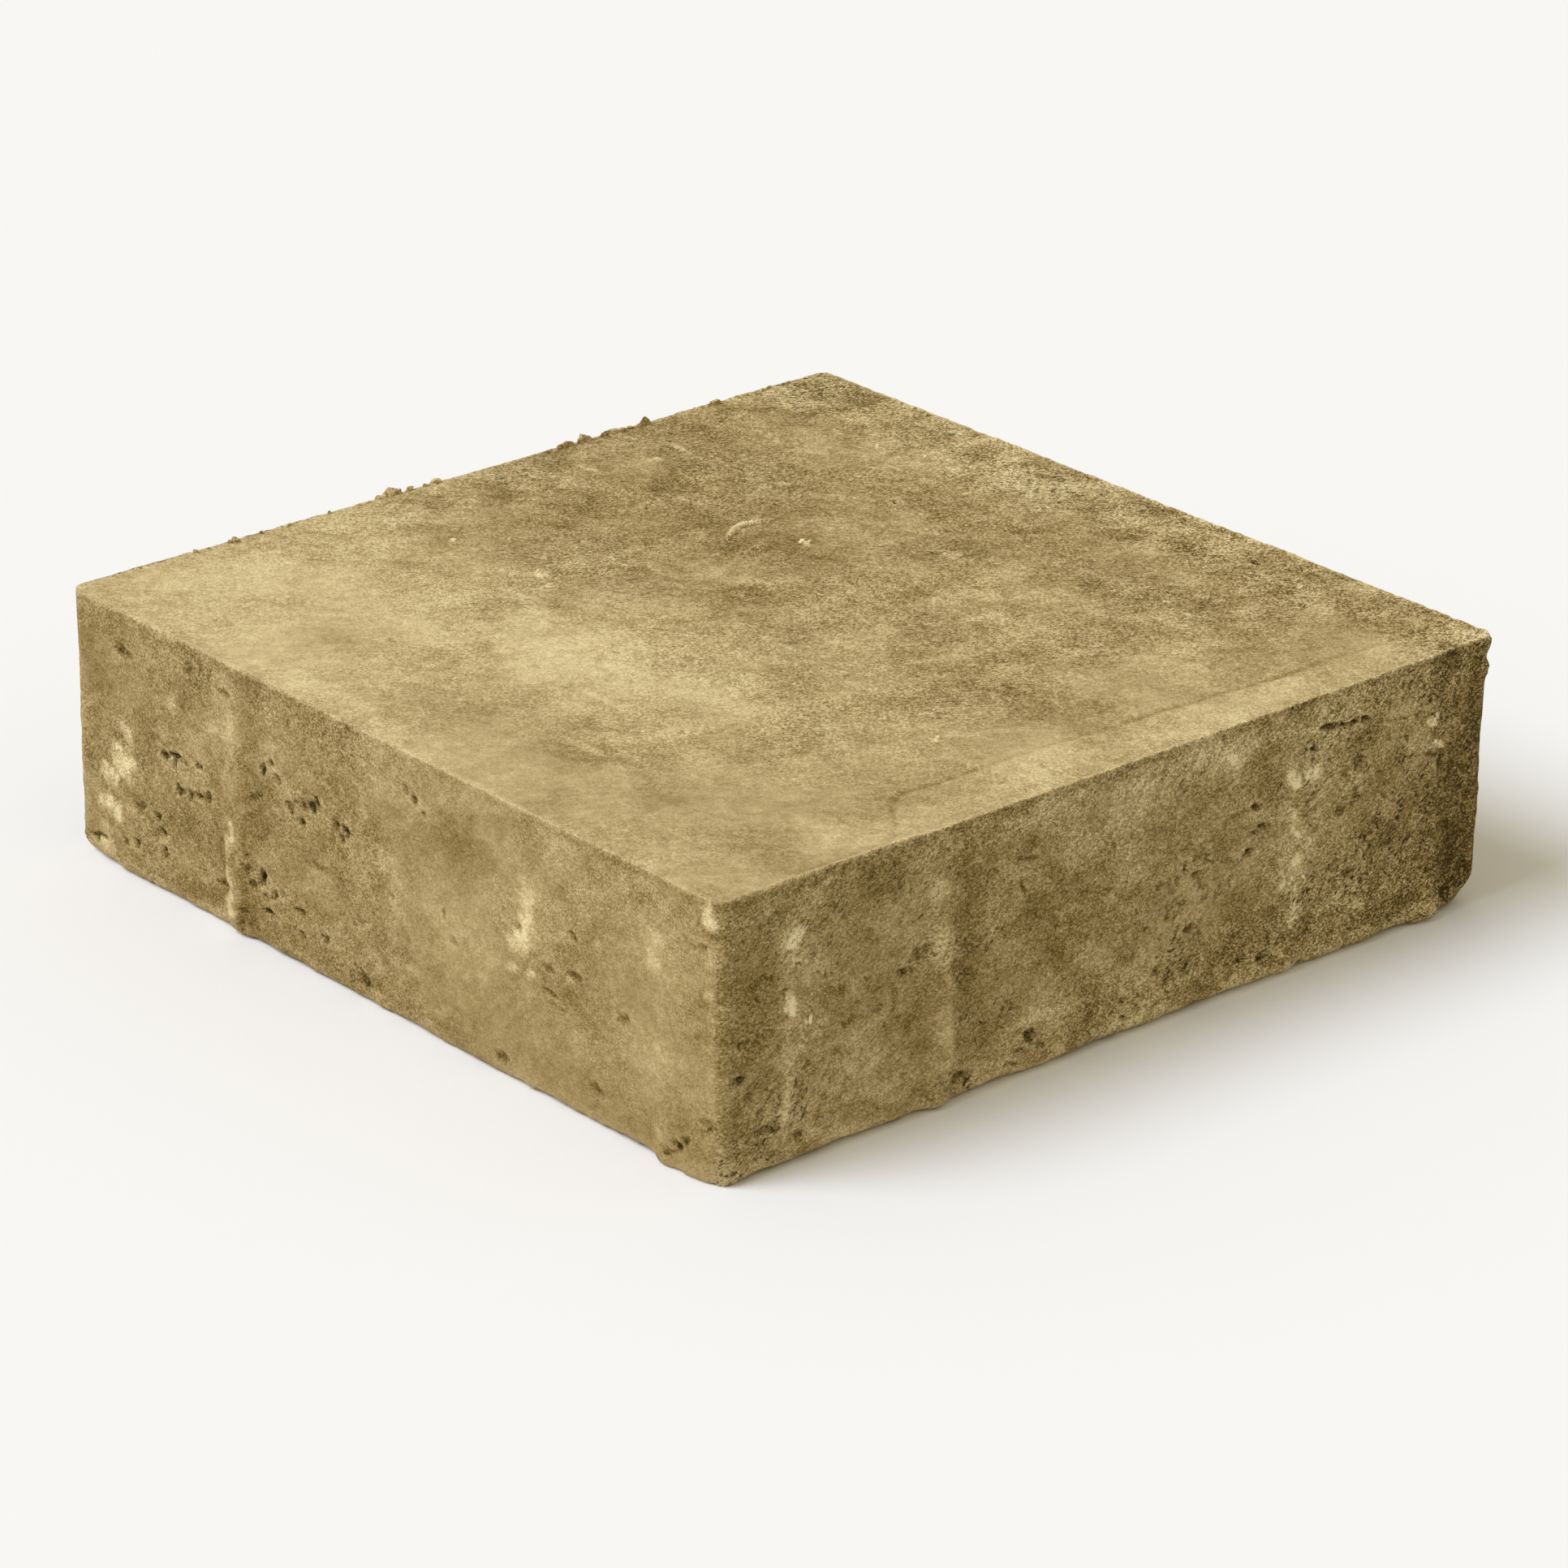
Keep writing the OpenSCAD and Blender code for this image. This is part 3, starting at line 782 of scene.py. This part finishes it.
def crumb(body, at, radii, heading, paleness):
    """One small broken bit sunk by half into the nearest part of the body. Paleness is how chalky it is."""
    deselect_all()
    bpy.ops.mesh.primitive_ico_sphere_add(subdivisions=2, radius=1)
    bit = bpy.context.active_object
    # Every place gives its own broken shape.
    shift = Vector(at) * 0.37
    for vertex in bit.data.vertices:
        vertex.co *= 1 + 1.1 * noise.noise(vertex.co * 0.9 + shift)
    corner = Vector((-HALF, -HALF, 0))
    place = body.closest_point_on_mesh(corner + Vector(at) * MM)[1]
    bit.location = place + Vector((0, 0, 0.1 * radii[2] * MM))
    bit.rotation_euler = (0, 0, heading)
    bit.scale = [r * MM for r in radii]
    bpy.ops.object.transform_apply(location=True, rotation=True, scale=True)
    count = len(bit.data.vertices)
    store(bit, "tone", [TOP_TONE + 0.05] * count)
    store(bit, "scuff", [paleness] * count)
    for name in ("pit_shade", "gritty", "hollow_shade"):
        store(bit, name, [0.0] * count)
    bpy.ops.object.shade_smooth_by_angle(angle=math.radians(40))
    return bit


def join_bits(body, bits):
    """Makes the bits part of the body's own mesh."""
    make_active(body)
    for bit in bits:
        bit.select_set(True)
    bpy.ops.object.join()


def add_crumbs(body):
    """Sticks the torn crumbs, the pale grains and the curved flake to the face layer."""
    chance = random.Random(7)
    bits = []
    for marks, paleness in ((TORN_CRUMBS, 0.0), (PALE_GRAINS, 1.0)):
        for x, y, radius in marks:
            radii = [0.85 * radius * chance.uniform(0.75, 1.3) for _ in range(3)]
            heading = chance.uniform(0, math.pi)
            if marks is TORN_CRUMBS:
                # A torn crumb is longest along its arris, which is the north one or the west one.
                across, along = (1, 0) if y > SIZE - 0.5 else (0, 1)
                radii[across] *= 0.8
                radii[along] *= 1.3
                heading = chance.uniform(-0.5, 0.5)
                x, y = max(x, CRUMB_INSET), min(y, SIZE - CRUMB_INSET)
            bits.append(crumb(body, (x, y, TALL), radii, heading, paleness))
    first, last = FLAKE_ARC
    for step in range(FLAKE_BITS):
        share = step / (FLAKE_BITS - 1)
        angle = math.radians(first + (last - first) * share)
        x = FLAKE_CENTRE[0] + FLAKE_RADIUS * math.cos(angle)
        y = FLAKE_CENTRE[1] + FLAKE_RADIUS * math.sin(angle)
        thick = 0.35 + 0.55 * math.sin(math.pi * share)
        radii = (thick, 0.9, 0.8 * thick + 0.2)
        bits.append(crumb(body, (x, y, TALL), radii, angle, 0.45))
    join_bits(body, bits)


# ---------------------------------------------------------------- stage, light, camera

def hex_linear(code, alpha=1.0):
    """An sRGB hex colour as linear values."""
    parts = [int(code[i:i + 2], 16) / 255 for i in (0, 2, 4)]
    return tuple(c / 12.92 if c <= 0.04045 else ((c + 0.055) / 1.055) ** 2.4 for c in parts) + (alpha,)


def add_node(tree, kind, inputs=(), output=0, **settings):
    """Adds a node with its settings, links or sets its inputs, in order or by name, and gives one output."""
    node = tree.nodes.new("ShaderNode" + kind)
    for name, value in settings.items():
        setattr(node, name, value)
    for socket, value in inputs.items() if isinstance(inputs, dict) else enumerate(inputs):
        if isinstance(value, bpy.types.NodeSocket):
            tree.links.new(value, node.inputs[socket])
        else:
            node.inputs[socket].default_value = value
    return node.outputs[output]


def plain_material(name, code, roughness):
    material = bpy.data.materials.new(name)
    material.use_nodes = True
    shader = material.node_tree.nodes["Principled BSDF"]
    shader.inputs["Base Color"].default_value = hex_linear(code)
    shader.inputs["Roughness"].default_value = roughness
    return material


def studio():
    deselect_all()
    bpy.ops.mesh.primitive_plane_add(size=12, location=(0, 0, 0))
    floor = bpy.context.active_object
    floor.name = "floor"
    floor.data.materials.append(plain_material("pale_floor", "f9fbff", 0.9))

    world = bpy.data.worlds.new("soft_room")
    world.use_nodes = True
    back = world.node_tree.nodes["Background"]
    back.inputs["Color"].default_value = (1.0, 0.905, 0.67, 1)
    back.inputs["Strength"].default_value = 0.5
    bpy.context.scene.world = world

    bpy.ops.object.light_add(type="SUN", location=(-0.5, -1.5, 2.0))
    key = bpy.context.active_object
    key.name = "key"
    key.data.energy = 2.2
    key.data.angle = math.radians(35)
    key.data.color = (0.93, 0.969, 1.08)
    key.rotation_euler = Vector((-0.22, -0.60, 0.77)).to_track_quat("Z", "Y").to_euler()
    bpy.context.scene.view_settings.view_transform = "Standard"


def camera():
    """A long lens, a little above the block, with its near corner towards it."""
    azimuth, elevation, roll = (math.radians(a) for a in (48.80, 23.38, 0.53))
    distance, across, lift = 1.3131, 0.0021, 0.0191
    reach = math.cos(elevation)
    back = Vector((math.sin(azimuth) * reach, -math.cos(azimuth) * reach, math.sin(elevation)))
    right = Vector((0, 0, 1)).cross(back).normalized()
    up = back.cross(right)
    tilt = Matrix.Rotation(roll, 3, back)
    right, up = tilt @ right, tilt @ up
    data = bpy.data.cameras.new("camera")
    data.lens = 143.5
    data.sensor_width = 36
    data.clip_start = 0.01
    data.clip_end = 50
    eye = bpy.data.objects.new("camera", data)
    bpy.context.scene.collection.objects.link(eye)
    place = back * distance + right * across + up * lift
    eye.matrix_world = Matrix((
        (right.x, up.x, back.x, place.x),
        (right.y, up.y, back.y, place.y),
        (right.z, up.z, back.z, place.z),
        (0, 0, 0, 1),
    ))
    bpy.context.scene.camera = eye


# ---------------------------------------------------------------- concrete

# The sandy colours of the concrete, from painted shade in a hole to chalk on a rubbed nib: (tone, colour).
COLOURS = ((0.20, "423400"), (0.38, "77612c"), (0.56, "a58f5f"), (0.70, "c8b283"), (0.82, "e1d09e"),
           (0.95, "efe1b6"))

# The uneven patterns in it: (size in millimetres, detail, roughness, distortion). The sand is about half a
# millimetre, too fine to show, so its noise is drawn at three quarters of a millimetre.
BEDDED = {
    "dust": (29.4, 3, 0.55, 0.0),
    "broad_clouds": (41.7, 2, 0.6, 1.0),
    "clouds": (16.7, 2, 0.6, 1.4),
    "blotches": (6.67, 3, 0.6, 0.8),
    "crowding": (20.8, 3, 0.6, 0.0),
    "coarse_sand": (2.38, 2, 0.6, 0.0),
    "sand": (0.77, 3, 0.8, 0.0),
    "round_nicks": (1.11, 4, 0.75, 0.0),
    "torn_paste": (1.316, 5, 0.75, 0.0),
    "chalk": (2.63, 5, 0.7, 0.0),
}
# The width of one grain with its own shade, in millimetres.
SINGLE_GRAIN = 0.294
# The patterns that are drawn out into slanting streaks, as the mould dragged the paste.
DRAGGED = {
    "sweeps": (9.1, 3, 0.6, 0.6),
    "strands": (1.92, 3, 0.65, 0.8),
    "long_nicks": (0.87, 4, 0.75, 0.0),
}
# The lie of the streaks on the north and south sides, the east and west sides and the wearing face: the turn
# about X, Y and Z in degrees, and how far they are drawn out along each.
STREAK_LIES = (((0, -38, 0), (3.0, 1.2, 1.0)), ((38, 0, 0), (1.2, 3.0, 1.0)), ((0, 0, 50), (3.0, 1.0, 1.0)))


def concrete(name, grain, mottle, specked, streaked, rough):
    """Pressed concrete in one sandy colour: the eye sees soft clouds of paler and darker paste, a fine sand
    grain all over, slanting drag marks, pale chalk where it has rubbed, and painted shade in the hollows,
    pits and nicks."""
    material = bpy.data.materials.new(name)
    material.use_nodes = True
    tree = material.node_tree
    shader = tree.nodes["Principled BSDF"]
    put = functools.partial(add_node, tree)
    kept = {kind: put("Attribute", output="Fac", attribute_name=kind)
            for kind in ("tone", "scuff", "pit_shade", "gritty", "hollow_shade")}

    # The mix beds down as it is pressed, so its patterns are a little wider than tall.
    where = put("TexCoord", output="Object")
    bedded = put("VectorMath", (where, (0.75, 0.75, 1.0)), operation="MULTIPLY")

    # The streaks turn with the side: the normal's X tells east and west, and its Z tells the wearing face.
    normal = put("SeparateXYZ", (put("NewGeometry", output="True Normal"),)).node.outputs
    facing = []
    for part, low, high in ((normal["X"], 0.6, 0.7), (normal["Z"], 0.7, 0.8)):
        size = put("Math", (part,), operation="ABSOLUTE")
        facing.append(put("MapRange", (size, low, high), interpolation_type="SMOOTHSTEP"))
    lies = []
    for turn, drawn in STREAK_LIES:
        turn = [math.radians(angle) for angle in turn]
        lies.append(put("Mapping", {"Vector": where, "Rotation": turn, "Scale": drawn},
                        vector_type="TEXTURE"))
    dragged = lies[0]
    for lie, share in zip(lies[1:], facing):
        change = put("VectorMath", (lie, dragged), operation="SUBTRACT")
        change = put("VectorMath", {0: change, "Scale": share}, operation="SCALE")
        dragged = put("VectorMath", (dragged, change), operation="ADD")

    pattern = {}
    for patterns, place in ((BEDDED, bedded), (DRAGGED, dragged)):
        for kind, (size, detail, roughness, distortion) in patterns.items():
            pattern[kind] = put("TexNoise", {"Vector": place, "Scale": 1 / (size * MM), "Detail": detail,
                                             "Roughness": roughness, "Distortion": distortion}, "Fac")
    grains = put("TexVoronoi", {"Vector": bedded, "Scale": 1 / (SINGLE_GRAIN * MM)}, "Color")

    # Dust lies in patches. Where there is none, and where the mix is gritty, the sand shows more.
    dust = put("MapRange", (pattern["dust"], 0.40, 0.62), interpolation_type="SMOOTHSTEP")
    bare = put("Math", (dust, -0.5, 1.25), operation="MULTIPLY_ADD")
    bare = put("Math", (bare, kept["gritty"]), operation="ADD")
    lively = put("Math", (kept["gritty"], 1.0), operation="ADD")
    upright = put("Math", (1.0, facing[1]), operation="SUBTRACT")

    # Fine nicks in the paste, painted dark as shade, only where they crowd together, and more of them where
    # the mix is gritty.
    shaded_nicks = put("Math", (pattern["long_nicks"], 0.6), operation="MULTIPLY")
    shaded_nicks = put("Math", (pattern["round_nicks"], 0.4, shaded_nicks), operation="MULTIPLY_ADD")
    shaded_nicks = put("MapRange", (shaded_nicks, 0.54, 0.60), interpolation_type="SMOOTHSTEP")
    crowded = put("MapRange", (pattern["crowding"], 0.46, 0.62), interpolation_type="SMOOTHSTEP")
    shaded_nicks = put("Math", (shaded_nicks, crowded), operation="MULTIPLY")
    often = put("Math", (kept["gritty"], 1.8, 0.35), operation="MULTIPLY_ADD")
    often = put("Clamp", (often, 0.0, 2.0))
    shaded_nicks = put("Math", (shaded_nicks, often), operation="MULTIPLY")

    # The pits are painted dark as shade, with a torn outline, and the scuffs break up into grains of chalk.
    torn = put("Math", (pattern["torn_paste"], 0.5), operation="SUBTRACT")
    torn = put("Math", (torn, 3.2, kept["pit_shade"]), operation="MULTIPLY_ADD")
    torn = put("MapRange", (torn, 0.45, 1.0), interpolation_type="SMOOTHSTEP")
    shaded_holes = put("MapRange", (kept["pit_shade"], 0.02, 0.25), interpolation_type="SMOOTHSTEP")
    shaded_holes = put("Math", (torn, shaded_holes), operation="MULTIPLY")
    chalk = put("Math", (pattern["chalk"], 2.2, -0.15), operation="MULTIPLY_ADD")
    chalk = put("Math", (kept["scuff"], chalk), operation="MULTIPLY")
    chalk = put("Math", (chalk, 0.0), operation="MAXIMUM")

    # Each layer moves the shade: (pattern, the value at which it changes nothing, how strongly, where).
    shade = kept["tone"]
    for layer, middle, amount, share in (
            (dust, 0.5, 0.06 * mottle, 1.0),
            (pattern["broad_clouds"], 0.5, 0.15 * mottle, lively),
            (pattern["clouds"], 0.5, 0.25 * mottle, lively),
            (pattern["blotches"], 0.5, 0.26 * mottle, bare),
            (pattern["sweeps"], 0.5, 0.18, upright),
            (pattern["strands"], 0.5, 0.22 * streaked, 1.0),
            (pattern["coarse_sand"], 0.5, 0.06 * grain, bare),
            (pattern["sand"], 0.5, 0.16 * grain, bare),
            (grains, 0.5, 0.38 * grain, bare),
            # Painted shade in the nicks, the pits and the hollows.
            (shaded_nicks, 0.0, -0.22 * specked, 1.0),
            (shaded_holes, 0.0, -0.24, 1.0),
            (kept["hollow_shade"], 0.0, -0.05, 1.0),
            (chalk, 0.0, 0.31, 1.0)):
        swing = put("Math", (layer, middle), operation="SUBTRACT")
        swing = put("Math", (swing, share), operation="MULTIPLY")
        shade = put("Math", (swing, amount, shade), operation="MULTIPLY_ADD")

    colour = put("ValToRGB", (shade,))
    ramp = colour.node.color_ramp
    while len(ramp.elements) < len(COLOURS):
        ramp.elements.new(0.5)
    for element, (position, code) in zip(ramp.elements, COLOURS):
        element.position = position
        element.color = hex_linear(code)
    tree.links.new(colour, shader.inputs["Base Color"])
    shader.inputs["Roughness"].default_value = rough
    shader.inputs["IOR"].default_value = 1.5
    shader.inputs["Specular IOR Level"].default_value = 0.3

    # The sand stands up a little, and the nicks and pits go in.
    relief = put("Math", (pattern["sand"], 0.5), operation="MULTIPLY")
    relief = put("Math", (pattern["coarse_sand"], 0.8, relief), operation="MULTIPLY_ADD")
    for hollow in (shaded_nicks, shaded_holes):
        relief = put("Math", (hollow, -0.6, relief), operation="MULTIPLY_ADD")
    bump = put("Bump", {"Height": relief, "Distance": 0.7 * MM, "Strength": 0.8})
    tree.links.new(bump, shader.inputs["Normal"])
    return material


# ---------------------------------------------------------------- the whole scene

blank = block_blank()
# What depends on a place is worked out on the unworn blank, before wear moves its vertices.
for name, value_at in (("above_bond", lambda co: 1.0 if co.z > BOND - 0.01 * MM else 0.0), ("tone", tone),
                       ("scuff", scuffed), ("pit_shade", pocked), ("gritty", grittiness)):
    store(blank, name, [value_at(v.co) for v in blank.data.vertices])
press_and_wear(blank)
# Painted shade in the hollows, and a sharp edge is a little paler.
store(blank, "hollow_shade", [min(max(h, -0.6), 3.0) for h in hollowness(blank)])
make_active(blank)
close_bed(blank)
face_layer, core_block = split_at_bond(blank)
add_crumbs(face_layer)
join_bits(core_block, [crumb(core_block, at, radii, 0.4, 1.0) for at, radii in PALE_PEBBLES])
face_layer.data.materials.append(concrete("fine_pressed_face_mix", grain=0.9, mottle=1.0, specked=0.6,
                                          streaked=1.0, rough=0.92))
core_block.data.materials.append(concrete("coarse_pressed_core_mix", grain=0.75, mottle=0.88, specked=1.2,
                                          streaked=0.6, rough=0.95))
for piece, node, slot in ((face_layer, "face_layer", "face_mix"), (core_block, "core_block", "core_mix")):
    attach(piece, "root")
    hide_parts(node)

studio()
camera()
